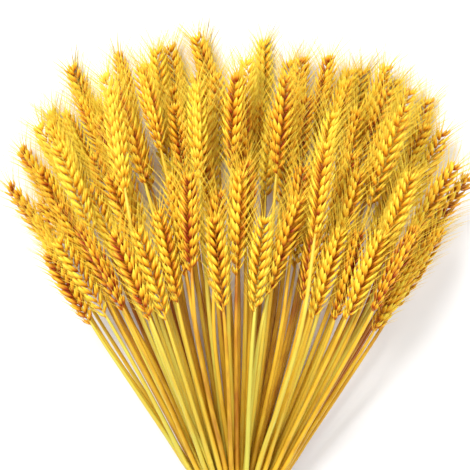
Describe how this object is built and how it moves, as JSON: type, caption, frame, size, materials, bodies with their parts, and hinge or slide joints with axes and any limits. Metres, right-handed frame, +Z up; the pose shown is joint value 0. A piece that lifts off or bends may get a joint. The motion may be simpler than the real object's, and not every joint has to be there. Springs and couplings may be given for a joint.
{
  "type": "tied bunch of dried wheat ears",
  "caption": "Dried yellow wheat lying on a surface: a fan of bristly ears on long straws, drawn together at a neck by turns of twine, with short cut ends behind.",
  "frame": {"origin": "on the surface the bunch lies on, under the middle of the tie, at the tie's flat underside", "axes": "+Y runs along the bunch from the tie to the ears, +X is to the right seen from above, +Z is up from the surface"},
  "size_m": [0.3929, 0.469, 0.1268],
  "materials": {
    "dried_wheat": "matte, dyed golden yellow",
    "twine": "rough jute"
  },
  "bodies": {
    "root": {"wheat_pair_01": "dried_wheat", "wheat_pair_02": "dried_wheat", "wheat_pair_03": "dried_wheat", "wheat_pair_04": "dried_wheat", "wheat_pair_05": "dried_wheat", "wheat_pair_06": "dried_wheat", "wheat_pair_07": "dried_wheat", "wheat_pair_08": "dried_wheat", "wheat_pair_09": "dried_wheat", "wheat_pair_10": "dried_wheat", "wheat_pair_11": "dried_wheat", "wheat_pair_12": "dried_wheat", "wheat_pair_13": "dried_wheat", "wheat_pair_14": "dried_wheat", "wheat_pair_15": "dried_wheat", "wheat_pair_16": "dried_wheat", "wheat_pair_17": "dried_wheat", "wheat_pair_18": "dried_wheat", "wheat_pair_19": "dried_wheat", "wheat_pair_20": "dried_wheat", "wheat_pair_21": "dried_wheat", "wheat_pair_22": "dried_wheat", "wheat_pair_23": "dried_wheat", "wheat_pair_24": "dried_wheat", "wheat_pair_25": "dried_wheat", "wheat_pair_26": "dried_wheat", "wheat_pair_27": "dried_wheat", "wheat_pair_28": "dried_wheat", "wheat_pair_29": "dried_wheat", "wheat_pair_30": "dried_wheat", "wheat_pair_31": "dried_wheat", "wheat_pair_32": "dried_wheat", "wheat_pair_33": "dried_wheat", "wheat_pair_34": "dried_wheat", "wheat_pair_35": "dried_wheat", "wheat_pair_36": "dried_wheat", "wheat_pair_37": "dried_wheat", "wheat_pair_38": "dried_wheat", "wheat_pair_39": "dried_wheat", "wheat_pair_40": "dried_wheat", "wheat_pair_41": "dried_wheat", "wheat_pair_42": "dried_wheat", "wheat_pair_43": "dried_wheat", "wheat_pair_44": "dried_wheat", "wheat_pair_45": "dried_wheat", "twine_tie": "twine"}
  },
  "joints": []
}
